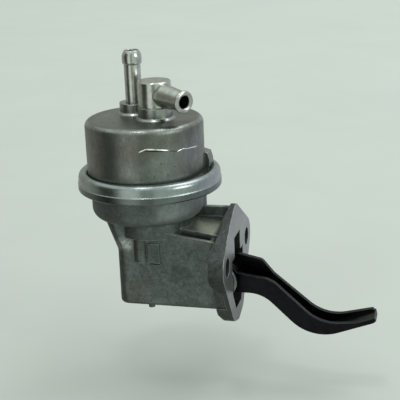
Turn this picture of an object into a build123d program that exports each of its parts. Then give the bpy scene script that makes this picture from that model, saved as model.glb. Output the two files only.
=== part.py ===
"""Mechanical diaphragm fuel pump for a car engine, millimetres.

A die-cast lower body carries a bowl, a lever chamber and a two-hole flange.
A die-cast cover stands on the bowl, and a rolled steel ring crimps the two together over the diaphragm.
A black pressed-steel lever swings on a pin in the flange's mouth and pulls the diaphragm down through a link and a rod.
The frame's origin is midway between the two bolt holes, on the flange's machined face.
+X points out of that face, to the engine, and +Z runs up along the diaphragm's axis.
"""
from build123d import *
import math
import os

# Named clearances
press_gap = 0.02          # between round pieces that are pressed together
seat_gap = 0.05           # between round pieces that are only dropped in
running_gap = 0.05        # between a pin or rod and what turns or slides on it
side_gap = 0.3            # beside moving pieces

# Flange
bolt_spacing = 44.0
bolt_hole_radius = 4.5
flange_thickness = 7.5    # at the bolts
flange_tip_thickness = 4.4
flange_edge = 2.4         # thickness of the lower sides, where the back is relieved
lobe_radius = 9.5
flange_top = 24.3         # height of the upper tip over the bolt line
flange_top_radius = 7.5
flange_top_y = -1.5
flange_shoulder_radius = 7.0
flange_shoulder_y = -12.0  # the outline bows out on one side of the upper tip
flange_shoulder_z = 11.5
flange_bottom = 35.4      # depth of the blunt lower end under the bolt line
flange_bottom_radius = 5.0
flange_corner_half = 7.0  # from the middle to each lower corner's centre
flange_corner_z = -27.5
flange_corner_radius = 5.8

# Lever chamber, the box behind the flange
body_half_width = 16.0
body_wall = 3.5
body_back = 56.4          # from the flange's face to the box's back wall
body_bottom = 24.6        # depth of the box's underside under the bolt line
body_floor = 3.1
body_edge_radius = 2.0
body_corner_radius = 5.0  # upright corners at the back
neck_front = 36.0         # from the flange's face to the end of the box's full height
back_flare = 6.0          # how far the back wall spreads out under the bowl
back_flare_height = 15.0
rim_wall = 2.0            # thin upright rims beside the roof
rim_start = 31.7          # from the flange's face to where the open roof begins
rim_high = 13.3
rim_low = 9.5
tunnel_half_width = 6.6   # narrow upper part of the chamber and of the mouth
tunnel_wall = 4.0
tunnel_top = 9.0
tunnel_roof = 2.2         # roof over the tunnel, at the flange
roof_rise = 3.8           # how much higher the roof is at its other end
step_height = -1.0        # where the mouth widens
pocket_floor = 2.6        # roof thickness over the wide part of the chamber
mouth_corner = -17.5      # where the mouth starts to narrow to its flat lower edge
mouth_bottom = -27.7
mouth_bottom_half = 5.8
mouth_depth = 9.5
chamber_top = 12.0
rear_web_top = 18.4
rear_web_thickness = 2.6
rear_ledge_top = 14.2
rear_ledge_width = 1.8
wall_rib_x = -44.0        # half-round rib on the visible side wall
wall_rib_radius = 3.4
wall_rib_reach = 1.7      # how far it stands proud of the wall
wall_rib_low = -2.0
wall_pad_x = -37.3
wall_pad_length = 5.8
wall_pad_reach = 0.7
wall_pad_low = -2.2
wall_pad_high = 7.6
nub_x = -40.5
nub_radius = 1.6
nub_height = 1.5
bowl_rib_radius = 2.2
bowl_rib_angle = 12.0     # heading from +X towards +Y

# Diaphragm axis, bowl and cover
axis_distance = 42.2      # from the flange's face to the diaphragm's axis
drum_offset = 1.5         # both drums stand this far back from the ring's axis
bowl_bottom = 18.0
bowl_floor = 3.0
bowl_edge_radius = 5.0
bowl_wall = 4.2
neck_radius = 19.0
neck_bottom = 10.0
neck_offset = 1.2
cover_top = 65.6
cover_edge_radius = 3.2
cover_wall = 2.8
cover_step = 1.0          # shoulder that the valve plate is pressed against
lug_width = 7.0
lug_y = 9.0
lug_reach = 1.9
lug_top = 48.5

# Crimp ring and the joint inside it
ring_bottom = 32.1
ring_radius = 34.5
ring_sheet = 1.2
ring_height = 8.9
ring_lip_width = 4.6      # how far the upper lip reaches in over the cover's rim
ring_lip_drop = 0.7
ring_lower_lip_width = 5.3
ring_step_height = 3.4
ring_step = 0.35
ring_shoulder = 3.0
bowl_flange_thickness = 2.15
diaphragm_thickness = 1.5
cover_flange_thickness = 2.1

# Hose spigots
tube_radius = 4.0
tube_bore_radius = 2.9
bead_radius = 4.7
bead_length = 6.6
tube_top = 96.0
outlet_x = -50.5
outlet_y = 7.5
collar_radius = 7.1
collar_height = 5.4       # boss round the upright tube, over the cover's top
boss_foot = 1.1
elbow_x = -37.0
elbow_y = -2.8
elbow_boss_radius = 8.3
elbow_boss_height = 5.9
elbow_radius = 7.9
elbow_height = 12.1
elbow_stub_radius = 5.0
nozzle_angle = -37.0      # heading of the side spigot, from +X towards +Y
nozzle_length = 23.0      # from the elbow's axis to the tip
nozzle_slope = 3.0        # downwards to its tip
nozzle_root_radius = 5.5
nozzle_neck_radius = 4.5
nozzle_bead_radius = 5.2
nozzle_bead_round = 1.2
nozzle_stub_radius = 4.4

# Pull rod, seal and springs
rod_radius = 2.5
rod_neck_radius = 2.0
rod_head_radius = 3.6
seal_bore_share = 0.545   # the seal bore's radius over the centre plates'
seal_height = 6.0
retainer_sheet = 1.0
diaphragm_fold = 6.3      # from the centre plates' rim out to the bowl's wall
plate_thickness = 1.3
lower_plate_rim = 2.0
diaphragm_spring_inset = 5.5  # from the centre plates' rim in to the middle of the wire
diaphragm_spring_wire = 1.8
diaphragm_spring_turns = 3.0
return_spring_radius = 3.2
return_spring_wire = 1.1
return_spring_turns = 3.5

# Lever, link and pivot
pivot_x = -5.8
pivot_z = -12.1
pin_radius = 3.5
pin_wall = 1.0            # metal left in the side wall in front of the pin's blind end
lever_width = 12.0
lever_sheet = 2.3
lever_drop_x = 12.8       # where the arm starts down, and how high its underside is there
lever_drop_z = -18.8
lever_heel_x = 36.7       # lowest corner, before it is rounded
lever_heel_z = -41.4
lever_tip = 67.0          # from the flange's face out to the pad's tip
lever_tip_z = -30.0
lever_tip_round = 2.2
lever_ear_radius = 7.2
bush_radius = 4.9
tongue_end = 31.0         # from the flange's face in to the lever's inner end
tongue_underside = -11.5
link_sheet = 1.8
link_side_gap = 1.1       # room for a washer between each ear and the side wall
link_ear_radius = 7.4
link_plate_sheet = 2.1
link_plate_start = 28.0
link_plate_end = 47.0
link_slot_half = 2.6
washer_thickness = 0.8
washer_radius = 5.2

# Valves in the plate inside the cover
valve_plate_bottom = 41.5
valve_plate_thickness = 5.0
valve_spread = 10.5       # from the drum's axis to each valve
cage_radius = 6.5
cage_wall = 1.1
valve_seat_radius = 3.0
valve_disc_radius = 4.6
valve_disc_thickness = 1.2
valve_lift = 1.0
valve_spring_radius = 2.6
valve_spring_wire = 0.5

# Places worked out from the sizes above
axis_x = -axis_distance
drum_x = axis_x - drum_offset
neck_x = axis_x + neck_offset
inner_half_width = body_half_width - body_wall
pin_half_length = body_half_width - pin_wall
chamber_floor = body_floor - body_bottom
ring_lip_radius = ring_radius - ring_lip_width
ring_lower_lip_radius = ring_radius - ring_lower_lip_width
cover_radius = ring_lip_radius - drum_offset - 0.2
bowl_radius = ring_lower_lip_radius - drum_offset - 0.7
bowl_cavity_radius = bowl_radius - bowl_wall
plate_radius = bowl_cavity_radius - diaphragm_fold
seal_bore_radius = plate_radius * seal_bore_share
diaphragm_spring_radius = plate_radius - diaphragm_spring_inset
retainer_flange_radius = diaphragm_spring_radius + 2.5
collar_top = cover_top + collar_height
elbow_bottom = cover_top + elbow_boss_height
ring_inner_radius = ring_radius - ring_step - ring_sheet
joint_bottom = ring_bottom + ring_sheet + seat_gap
diaphragm_z = joint_bottom + bowl_flange_thickness
cover_flange_z = diaphragm_z + diaphragm_thickness
ring_inner_top = cover_flange_z + cover_flange_thickness + seat_gap
bowl_floor_z = bowl_bottom + bowl_floor
clamp_radius = ring_inner_radius - seat_gap
cover_inner_radius = cover_radius - cover_wall
cover_ceiling = cover_top - cover_wall
link_plate_top = tongue_underside - 0.15
link_plate_bottom = link_plate_top - link_plate_sheet
lever_half = lever_width / 2
link_outer = inner_half_width - link_side_gap
link_inner = link_outer - link_sheet
valve_plate_top = valve_plate_bottom + valve_plate_thickness


def turned(points, x=0.0, y=0.0):
    """Revolves a closed outline of (radius, height) points about the upright line through (x, y)."""
    outline = make_face(Polyline(*[(r, 0, z) for r, z in points], close=True))
    return Pos(x, y, 0) * revolve(outline, Axis.Z)


def upright(radius, low, high, x=0.0, y=0.0):
    """Upright cylinder between two heights."""
    return Pos(x, y, low) * extrude(Circle(radius), high - low)


def tube(outer, inner, low, high, x=0.0, y=0.0):
    return upright(outer, low, high, x, y) - upright(inner, low - 1, high + 1, x, y)


def block(x1, x2, y1, y2, z1, z2):
    """Box between two corners."""
    return Pos((x1 + x2) / 2, (y1 + y2) / 2, (z1 + z2) / 2) * Box(x2 - x1, y2 - y1, z2 - z1)


def slab(points, y1, y2):
    """Plate between y1 and y2 from an outline of (x, z) points."""
    face = make_face(Polyline(*[(x, y1, z) for x, z in points], close=True))
    return extrude(face, y2 - y1, dir=(0, 1, 0))


def cross_rod(radius, y1, y2, x, z):
    """Cylinder along Y."""
    return Pos(x, y1, z) * Rot(-90, 0, 0) * extrude(Circle(radius), y2 - y1)


def flange_prism(depth):
    """The flange's outline, a hull round two bolt lobes and two tips, extruded back from the face."""
    circles = [Pos(flange_top_y, flange_top - flange_top_radius) * Circle(flange_top_radius),
               Pos(flange_shoulder_y, flange_shoulder_z) * Circle(flange_shoulder_radius),
               Pos(0, flange_bottom_radius - flange_bottom) * Circle(flange_bottom_radius)]
    for side in (-1, 1):
        circles.append(Pos(side * bolt_spacing / 2, 0) * Circle(lobe_radius))
        circles.append(Pos(side * flange_corner_half, flange_corner_z) * Circle(flange_corner_radius))
    outline = make_hull([edge for circle in circles for edge in circle.edges()])
    return extrude(Plane.YZ * outline, -depth)


def mounting_flange():
    """The flange's back slopes forward to a thin upper tip and lower end, and is relieved below the bolts."""
    seat = lobe_radius - 2
    behind = -flange_thickness - 1
    above = [(behind, seat), (-flange_thickness, seat), (-flange_tip_thickness, flange_top - 8),
             (-flange_tip_thickness, flange_top - 4), (-flange_tip_thickness / 2, flange_top + 0.5),
             (behind, flange_top + 0.5)]
    below = [(behind, 1 - seat), (-flange_thickness, 1 - seat), (-flange_thickness + 1.5, -lobe_radius),
             (-flange_edge, -lobe_radius - 4.5), (-flange_edge, 1 - body_bottom), (behind, 1 - body_bottom)]
    foot = [(behind, -body_bottom - 3.5), (-flange_thickness, -body_bottom - 3.5),
            (-flange_thickness + 3, -body_bottom - 9), (-flange_edge, -flange_bottom - 1), (behind, -flange_bottom - 1)]
    flange = flange_prism(flange_thickness) - slab(above, -bolt_spacing, bolt_spacing)
    flange -= slab(foot, -body_half_width, body_half_width)
    flange -= slab(below, body_half_width, bolt_spacing)
    return flange - slab(below, -bolt_spacing, -body_half_width)


def body_shell():
    """Outside of the lower casting: bowl, neck, box and flange."""
    flare_foot = bowl_bottom - back_flare_height
    bowl_seat = bowl_bottom + body_edge_radius / 2
    box = slab([(-body_back, -body_bottom), (-body_back, flare_foot), (-body_back - back_flare, bowl_seat),
                (-neck_front, bowl_seat), (-neck_front, rim_high), (-rim_start, rim_high),
                (-flange_thickness, rim_low), (-flange_thickness, -body_bottom)], -body_half_width, body_half_width)
    corners = [e for e in box.edges() if e.center().X < 0.01 - body_back and abs(e.center().Y) > 1]
    box = fillet(corners, body_corner_radius)
    box = fillet(box.edges().filter_by(Axis.Y).sort_by(Axis.Z)[0:2].sort_by(Axis.X)[0:1], body_edge_radius)
    bowl = upright(bowl_radius, bowl_bottom, joint_bottom + 0.5, drum_x)
    bowl = fillet(bowl.edges().sort_by(Axis.Z)[0], bowl_edge_radius)
    joint = upright(clamp_radius, joint_bottom, diaphragm_z, axis_x)
    neck = upright(neck_radius, neck_bottom, bowl_bottom + 1, neck_x)
    return box + bowl + joint + neck + mounting_flange()


def front_details():
    """Half-round rib and pad on the visible side wall, nub under the box and rib on the bowl."""
    rib_y = wall_rib_radius - wall_rib_reach - body_half_width
    rib = upright(wall_rib_radius, wall_rib_low, neck_bottom + 1, wall_rib_x, rib_y)
    pad = block(wall_pad_x - wall_pad_length / 2, wall_pad_x + wall_pad_length / 2,
                -body_half_width - wall_pad_reach, -body_half_width + 1, wall_pad_low, wall_pad_high)
    nub = upright(nub_radius, -body_bottom - nub_height, -body_bottom + 1, nub_x, 2 * nub_radius - body_half_width)
    angle = math.radians(bowl_rib_angle)
    centre = bowl_radius - bowl_rib_radius / 3
    bowl_rib = upright(bowl_rib_radius, bowl_bottom + 3.0, joint_bottom + 0.5,
                       drum_x + centre * math.cos(angle), centre * math.sin(angle))
    return rib + pad + nub + bowl_rib


def lower_body():
    shell = body_shell() + front_details()
    # open roof between the rims, with a pocket on each side of the tunnel, up to the round neck
    roof_top = tunnel_top + tunnel_roof
    rim_inside = body_half_width - rim_wall
    roof_end = -flange_thickness - 2.5
    tunnel_side = tunnel_half_width + tunnel_wall
    pocket_z = step_height + pocket_floor
    pockets = block(-neck_front, roof_end, -rim_inside, rim_inside, pocket_z, bowl_bottom - 0.01)
    shell -= pockets - upright(neck_radius, pocket_z - 1, bowl_bottom, neck_x)
    shell += slab([(-neck_front, step_height), (-neck_front, roof_top + roof_rise), (-rim_start, roof_top + roof_rise),
                   (-flange_thickness + 1, roof_top), (-flange_thickness + 1, step_height)],
                  -tunnel_side, tunnel_side)
    # rear web up to the flange's tip, with a ledge in front of it
    web_y = rim_inside - rear_web_thickness
    shell += block(-rim_start + 1, -flange_tip_thickness + 1, web_y, rim_inside, pocket_z - 1, rear_web_top)
    shell += block(-rim_start + 1, -flange_tip_thickness + 1, web_y - rear_ledge_width, web_y + 0.1,
                   pocket_z - 1, rear_ledge_top)
    # chamber, tunnel and the mouth through the flange
    inner_back = body_back - body_wall
    shell -= slab([(-inner_back, chamber_floor), (-inner_back, chamber_top), (-rim_start - body_wall / 2, chamber_top),
                   (-rim_start - body_wall / 2, step_height), (-mouth_depth + 0.1, step_height),
                   (-mouth_depth + 0.1, chamber_floor)], -inner_half_width, inner_half_width)
    shell -= block(-rim_start - body_wall, 1, -tunnel_half_width, tunnel_half_width, step_height - 1, tunnel_top)
    mouth = Polyline((-tunnel_half_width, tunnel_top), (tunnel_half_width, tunnel_top),
                     (tunnel_half_width, step_height), (inner_half_width, step_height),
                     (inner_half_width, mouth_corner), (mouth_bottom_half, mouth_bottom),
                     (-mouth_bottom_half, mouth_bottom), (-inner_half_width, mouth_corner),
                     (-inner_half_width, step_height), (-tunnel_half_width, step_height), close=True)
    shell -= Pos(1, 0, 0) * extrude(Plane.YZ * make_face(mouth), -mouth_depth - 1)
    # bowl cavity, seal bore, bolt holes and pivot bore
    shell -= upright(bowl_cavity_radius, bowl_floor_z, ring_bottom + 20, axis_x)
    shell -= upright(seal_bore_radius, step_height, ring_bottom, axis_x)
    for side in (-1, 1):
        hole = extrude(Plane.YZ * Pos(side * bolt_spacing / 2, 0) * Circle(bolt_hole_radius), -30)
        shell -= Pos(5, 0, 0) * hole
    shell -= cross_rod(pin_radius + press_gap, -pin_half_length, 40, pivot_x, pivot_z)
    # round pockets in the side walls that clear the link's ears
    for side in (-1, 1):
        low, high = sorted((side * (link_inner - side_gap), side * inner_half_width))
        shell -= cross_rod(link_ear_radius + side_gap, low, high, pivot_x, pivot_z)
    shell += upright(1.9, chamber_floor - 1, chamber_floor + 2.0, -22.5)
    return shell


def boss(radius, high, x, y):
    """Round boss on the cover's top, with a sloping foot."""
    return turned([(0, cover_top - 1), (radius + boss_foot, cover_top - 1), (radius + boss_foot, cover_top),
                   (radius, cover_top + boss_foot), (radius, high), (0, high)], x, y)


def upper_cover():
    drum = upright(cover_radius, cover_flange_z, cover_top, drum_x)
    drum = fillet(drum.edges().sort_by(Axis.Z)[-1], cover_edge_radius)
    cover = drum + upright(clamp_radius, cover_flange_z, cover_flange_z + cover_flange_thickness, axis_x)
    cover += boss(collar_radius, collar_top, outlet_x, outlet_y)
    cover += boss(elbow_boss_radius, elbow_bottom, elbow_x, elbow_y)
    wall_x = drum_x + cover_radius
    cover += slab([(wall_x - cover_wall - 1, cover_flange_z), (wall_x + lug_reach, cover_flange_z),
                   (wall_x + lug_reach, lug_top - 5), (wall_x + lug_reach / 2, lug_top - 1.5),
                   (wall_x - cover_wall - 1, lug_top)], lug_y - lug_width / 2, lug_y + lug_width / 2)
    cover -= upright(cover_inner_radius, cover_flange_z - 1, valve_plate_top, drum_x)
    chamber = upright(cover_inner_radius - cover_step, valve_plate_top - 1, cover_ceiling, drum_x)
    chamber -= block(drum_x - 1.25, drum_x + 1.25, -cover_radius, cover_radius, valve_plate_top, cover_top)
    cover -= chamber
    cover -= upright(tube_radius + press_gap, cover_ceiling - 1, collar_top + 1, outlet_x, outlet_y)
    cover -= upright(elbow_stub_radius + press_gap, cover_ceiling - 1, elbow_bottom + 1, elbow_x, elbow_y)
    return cover


def crimp_ring():
    """Steel ring rolled over both flanges, with a rounded shoulder and a lip that dips inwards."""
    outer = ring_radius - ring_step
    top = ring_bottom + ring_height
    profile = Polyline((ring_lower_lip_radius, ring_bottom), (ring_radius, ring_bottom),
                       (ring_radius, ring_bottom + ring_step_height),
                       (outer, ring_bottom + ring_step_height + ring_step), (outer, top),
                       (outer - ring_shoulder, top), (ring_lip_radius, top - ring_lip_drop),
                       (ring_lip_radius, ring_inner_top), (ring_inner_radius, ring_inner_top),
                       (ring_inner_radius, ring_bottom + ring_sheet),
                       (ring_lower_lip_radius, ring_bottom + ring_sheet), close=True)
    face = make_face(profile)
    shoulder = face.vertices().sort_by_distance((outer, top))[0]
    face = fillet(shoulder, ring_shoulder - 0.2)
    foot = face.vertices().sort_by_distance((ring_radius, ring_bottom))[0]
    face = fillet(foot, 0.8)
    return Pos(axis_x, 0, 0) * revolve(Plane.XZ * face, Axis.Z)


def beaded_end(length, base):
    """Outline of a hose end as (radius, height): plain tube, then a rounded bead with its bore."""
    bead_low = length - bead_length
    return [(tube_bore_radius, base), (tube_radius, base), (tube_radius, bead_low),
            (bead_radius - 0.25, bead_low + 0.2), (bead_radius, bead_low + 0.9),
            (bead_radius, length - 2.6), (bead_radius - 0.5, length - 1.2), (bead_radius - 1.3, length),
            (tube_bore_radius, length)]


def outlet_tube():
    return turned(beaded_end(tube_top, cover_ceiling), outlet_x, outlet_y)


def nozzle_frame():
    """Placement that turns +Z into the side spigot's heading, from the elbow's axis at mid height."""
    turn = Rot(0, 0, nozzle_angle) * Rot(0, 90 + nozzle_slope, 0)
    return Pos(elbow_x, elbow_y, elbow_bottom + elbow_height / 2) * turn


def inlet_elbow():
    """Round block with a stub pressed into the cover and a cross bore for the side spigot."""
    body = upright(elbow_radius, elbow_bottom, elbow_bottom + elbow_height, elbow_x, elbow_y)
    body = chamfer(body.edges().sort_by(Axis.Z)[-1], 0.5)
    body += upright(elbow_stub_radius, cover_ceiling, elbow_bottom, elbow_x, elbow_y)
    mid = elbow_bottom + elbow_height / 2
    body -= upright(tube_bore_radius, cover_ceiling - 1, mid, elbow_x, elbow_y)
    body -= nozzle_frame() * upright(nozzle_stub_radius + press_gap, 1.5, elbow_radius + 5)
    return body - nozzle_frame() * upright(tube_bore_radius, -1, 5)


def inlet_nozzle():
    """Tapered side spigot with a round bead, trimmed to the block's side, and a stub in the block's bore."""
    bead_middle = nozzle_length - nozzle_bead_round
    spigot = turned([(0, 0), (nozzle_root_radius, 0), (nozzle_root_radius, elbow_radius + 1.0),
                     (nozzle_neck_radius, bead_middle), (0, bead_middle)])
    spigot += Pos(0, 0, bead_middle) * Torus(nozzle_bead_radius - nozzle_bead_round, nozzle_bead_round)
    spigot = nozzle_frame() * (spigot - upright(tube_bore_radius, -1, nozzle_length + 1))
    spigot -= upright(elbow_radius + press_gap, elbow_bottom - 10, elbow_bottom + elbow_height + 10,
                      elbow_x, elbow_y)
    return spigot + nozzle_frame() * tube(nozzle_stub_radius, tube_bore_radius, 1.5, elbow_radius + 0.5)


def diaphragm():
    """Rubber-coated cloth, clamped at its rim and centre, with one rolled fold between."""
    low, high = diaphragm_z, diaphragm_z + diaphragm_thickness
    fold = (plate_radius + bowl_cavity_radius) / 2
    half = (bowl_cavity_radius - plate_radius) / 2 - 1.0
    drop = 2.2
    return turned([(rod_radius + press_gap, low), (fold - half, low), (fold - half / 2, low - drop),
                   (fold + half / 2, low - drop), (fold + half, low), (clamp_radius, low), (clamp_radius, high),
                   (fold + half, high), (fold + half / 2, high - drop), (fold - half / 2, high - drop),
                   (fold - half, high), (rod_radius + press_gap, high)], axis_x)


def upper_plate():
    low = diaphragm_z + diaphragm_thickness
    return tube(plate_radius - 1.5, rod_radius + press_gap, low, low + plate_thickness, axis_x)


def lower_plate():
    """Pressed plate under the diaphragm, with a turned-down rim that centres the spring."""
    high = diaphragm_z
    rim = diaphragm_spring_radius + diaphragm_spring_wire
    rim_low = high - plate_thickness - lower_plate_rim
    return turned([(rod_radius + press_gap, high), (rod_radius + press_gap, high - plate_thickness),
                   (rim, high - plate_thickness), (rim, rim_low), (rim + plate_thickness, rim_low),
                   (rim + plate_thickness, high)], axis_x)


def pull_rod():
    """Turned rod: riveted head on top, slim neck in the link's slot, round knob below it."""
    knob = math.sqrt(rod_head_radius ** 2 - link_slot_half ** 2)
    knob_z = link_plate_bottom - side_gap - knob
    top = cover_flange_z + plate_thickness
    rod = upright(rod_radius, link_plate_top + 2.0, top, axis_x)
    rod += upright(rod_radius + 1.5, top, top + 1.6, axis_x)
    rod += upright(rod_neck_radius, knob_z, link_plate_top + 2.0, axis_x)
    ball = Pos(axis_x, 0, knob_z) * Sphere(rod_head_radius)
    return rod + ball - block(axis_x - 9, axis_x + 9, -9, 9, knob_z - 9, knob_z)


def seal_retainer():
    """Pressed cup in the seal bore, whose flange is the diaphragm spring's lower seat."""
    wall = seal_bore_radius - press_gap
    low = chamber_top + 0.6
    lip = rod_radius + 1.6
    seat = bowl_floor_z
    return turned([(lip, low), (wall, low), (wall, seat), (retainer_flange_radius, seat),
                   (retainer_flange_radius, seat + retainer_sheet), (wall - retainer_sheet, seat + retainer_sheet),
                   (wall - retainer_sheet, low + retainer_sheet), (lip, low + retainer_sheet)], axis_x)


def oil_seal():
    outer = seal_bore_radius - press_gap - retainer_sheet - seat_gap
    low = chamber_top + 0.6 + retainer_sheet
    lip = (rod_radius + outer) / 2
    return turned([(rod_radius + running_gap, low), (outer, low), (outer, low + seal_height), (lip, low + seal_height),
                   (rod_radius + running_gap, low + seal_height * 2 / 3)], axis_x)


def coil(radius, wire, turns, low, high, x, y=0.0):
    """Compression spring of square wire between two heights."""
    pitch = (high - low - wire) / turns
    path = Helix(pitch, pitch * turns, radius)
    start = path @ 0
    section = Plane(origin=start, z_dir=path % 0) * Rectangle(wire, wire)
    return Pos(x, y, low + wire / 2) * sweep(section, path, is_frenet=True)


def diaphragm_spring():
    return coil(diaphragm_spring_radius, diaphragm_spring_wire, diaphragm_spring_turns,
                bowl_floor_z + retainer_sheet + 0.2, diaphragm_z - plate_thickness - 0.2, axis_x)


def return_spring():
    return coil(return_spring_radius, return_spring_wire, return_spring_turns,
                chamber_floor + 0.2, tongue_underside - 0.2, -22.5)


def parallel(points, distance):
    """Corners of a polyline moved so that each run shifts sideways by distance, to its left."""
    moved = []
    last = len(points) - 1
    for i in range(last + 1):
        before = headings(points, max(i - 1, 0))
        after = headings(points, min(i, last - 1))
        middle = (before + after) / 2
        reach = distance / math.cos((after - before) / 2)
        moved.append((points[i][0] - reach * math.sin(middle), points[i][1] + reach * math.cos(middle)))
    return moved


def headings(points, i):
    """Heading of the run from point i to the next one."""
    return math.atan2(points[i + 1][1] - points[i][1], points[i + 1][0] - points[i][0])


def lever_underside():
    """Corners and corner radii of the arm's underside, from the inner tongue out to the pad's tip."""
    corners = [(-tongue_end, tongue_underside), (pivot_x - 12.7, tongue_underside),
               (pivot_x - 3.7, lever_drop_z - 0.2), (lever_drop_x, lever_drop_z),
               (lever_heel_x, lever_heel_z), (lever_tip, lever_tip_z)]
    return corners, [3.0, 4.0, 16.0, 21.4]


def lever_band(low, high, y1, y2):
    """Plate between two heights above the underside, following its bends."""
    corners, radii = lever_underside()
    lower = parallel(corners, low)
    upper = parallel(corners, high)
    signs = [1, 1, -1, 1]
    edge_low = FilletPolyline(*[(x, z) for x, z in lower], radius=[r - s * low for r, s in zip(radii, signs)])
    edge_high = FilletPolyline(*[(x, z) for x, z in upper], radius=[r - s * high for r, s in zip(radii, signs)])
    ends = [Line(lower[0], upper[0]), Line(lower[-1], upper[-1])]
    face = make_face(edge_low.edges() + edge_high.edges() + [e for line in ends for e in line.edges()])
    return Pos(0, y1, 0) * extrude(Plane.XZ * face, y1 - y2)


def lever_cheek(hump, y1, y2):
    """Side wall of the arm. The far one carries a tall hump beside the mouth and runs on to the tip."""
    corners, radii = lever_underside()
    lower = FilletPolyline(*corners, radius=radii)
    tip = (lever_tip - 1.0, lever_tip_z + 1.5)
    pad = lever_tip - lever_heel_x
    if hump:
        top = [(lever_tip - 2.2, lever_tip_z + 2.8), (lever_heel_x + 0.18 * pad, lever_tip_z - 2.7),
               (lever_drop_x + 4.2, lever_drop_z + 6.8), (lever_drop_x - 1.5, pivot_z + 6.9),
               (pivot_x - 0.2, pivot_z + 10.7)]
    else:
        top = [(lever_tip - 0.3 * pad, lever_tip_z - 0.9), (lever_heel_x + 0.13 * pad, lever_tip_z - 2.8),
               (lever_drop_x + 4.4, lever_drop_z + 7.4), (pivot_x + 4.8, pivot_z + 3.5),
               (pivot_x - 0.2, pivot_z + lever_ear_radius - 0.1)]
    top += [(pivot_x - 7.2, pivot_z + 6.1), (pivot_x - 14.2, pivot_z + 3.9), (-tongue_end, tongue_underside + 2.1)]
    bends = [0.6, 1.0, 0.66 * pad, 2.5 if hump else 14.0, 4.0, 2.5, 2.5, 2.5, 1.5]
    upper = FilletPolyline(corners[-1], tip, *top, corners[0], radius=bends)
    face = make_face(lower.edges() + upper.edges())
    return Pos(0, y1, 0) * extrude(Plane.XZ * face, y1 - y2)


def rocker_lever():
    """Pressed-steel channel: a web along the underside, two cheeks, and holes for the bush."""
    lever = lever_band(0, lever_sheet, -lever_half, lever_half)
    lever += lever_cheek(False, -lever_half, -lever_half + lever_sheet)
    lever += lever_cheek(True, lever_half - lever_sheet, lever_half)
    for side in (-1, 1):
        low, high = sorted((side * lever_half, side * (lever_half - lever_sheet)))
        lever += cross_rod(lever_ear_radius, low, high, pivot_x, pivot_z)
        # rounded corner of the pad's tip
        round_x = lever_tip - lever_tip_round
        round_y = lever_half - lever_tip_round
        low, high = sorted((side * round_y, side * (lever_half + 1)))
        corner = block(round_x, lever_tip + 1, low, high, -40, -20)
        lever -= corner - upright(lever_tip_round, -41, -19, round_x, side * round_y)
    return lever - cross_rod(bush_radius + press_gap, -lever_width, lever_width, pivot_x, pivot_z)


def lever_bush():
    """Steel sleeve pressed through both cheeks, which turns on the pin."""
    half = link_inner - 0.2
    return cross_rod(bush_radius, -half, half, pivot_x, pivot_z) - cross_rod(
        pin_radius + running_gap, -half - 1, half + 1, pivot_x, pivot_z)


def inner_link():
    """Pressed yoke on the same pin: two round ears, two arms and a slotted plate that draws the rod down."""
    link = block(-link_plate_end, -link_plate_start, -link_outer, link_outer, link_plate_bottom, link_plate_top)
    link = fillet(link.edges().filter_by(Axis.Z).sort_by(Axis.X)[0:2], 5.0)
    for side in (-1, 1):
        low, high = sorted((side * link_inner, side * link_outer))
        link += cross_rod(link_ear_radius, low, high, pivot_x, pivot_z)
        link += slab([(pivot_x, pivot_z + link_ear_radius), (-link_plate_start - 3, link_plate_top),
                      (-link_plate_start - 3, link_plate_bottom), (-link_plate_start + 4, link_plate_bottom - 1.0),
                      (pivot_x, pivot_z - link_ear_radius)], low, high)
    link -= cross_rod(pin_radius + running_gap, -body_half_width, body_half_width, pivot_x, pivot_z)
    slot = upright(link_slot_half, link_plate_bottom - 1, link_plate_top + 1, axis_x)
    slot += block(-link_plate_end - 1, axis_x, -link_slot_half, link_slot_half,
                  link_plate_bottom - 1, link_plate_top + 1)
    return link - slot


def pivot_pin():
    return cross_rod(pin_radius, -pin_half_length, pin_half_length + 0.5, pivot_x, pivot_z)


def pin_plug():
    """Steel plug that closes the outer end of the pin's bore."""
    return cross_rod(pin_radius, pin_half_length + 0.7, pin_half_length + 3.7, pivot_x, pivot_z)


def pivot_washer(side):
    low, high = sorted((side * (link_outer + 0.1), side * (link_outer + 0.1 + washer_thickness)))
    hole = cross_rod(pin_radius + seat_gap, low - 1, high + 1, pivot_x, pivot_z)
    return cross_rod(washer_radius, low, high, pivot_x, pivot_z) - hole


def valve_x(side):
    """Inlet valve under the elbow, outlet valve under the upright tube."""
    return drum_x + side * valve_spread


def valve_plate():
    plate = upright(cover_inner_radius - press_gap, valve_plate_bottom, valve_plate_top - seat_gap, drum_x)
    for side in (-1, 1):
        plate -= upright(cage_radius + press_gap, valve_plate_bottom - 1, valve_plate_top + 1, valve_x(side))
    return plate


def flipped(shape, side):
    """Valve pieces are drawn for the inlet, seat up. The outlet's are turned over at the plate's mid height."""
    if side > 0:
        return shape
    mid = (valve_plate_bottom + valve_plate_top - seat_gap) / 2
    return Pos(0, 0, 2 * mid) * mirror(shape, Plane.XY)


def valve_cage(side):
    """Cup with a seat hole in its closed end and a bridge across its open end."""
    low, high = valve_plate_bottom, valve_plate_top - seat_gap
    cage = tube(cage_radius, cage_radius - cage_wall, low, high)
    cage += tube(cage_radius - cage_wall / 2, valve_seat_radius, high - cage_wall, high)
    bridge = block(-cage_radius + cage_wall / 2, cage_radius - cage_wall / 2, -1.1, 1.1, low, low + 0.7)
    return Pos(valve_x(side), 0, 0) * flipped(cage + bridge, side)


def valve_disc(side):
    high = valve_plate_top - seat_gap - cage_wall - seat_gap
    disc = upright(valve_disc_radius, high - valve_disc_thickness, high)
    return Pos(valve_x(side), 0, 0) * flipped(disc, side)


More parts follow.
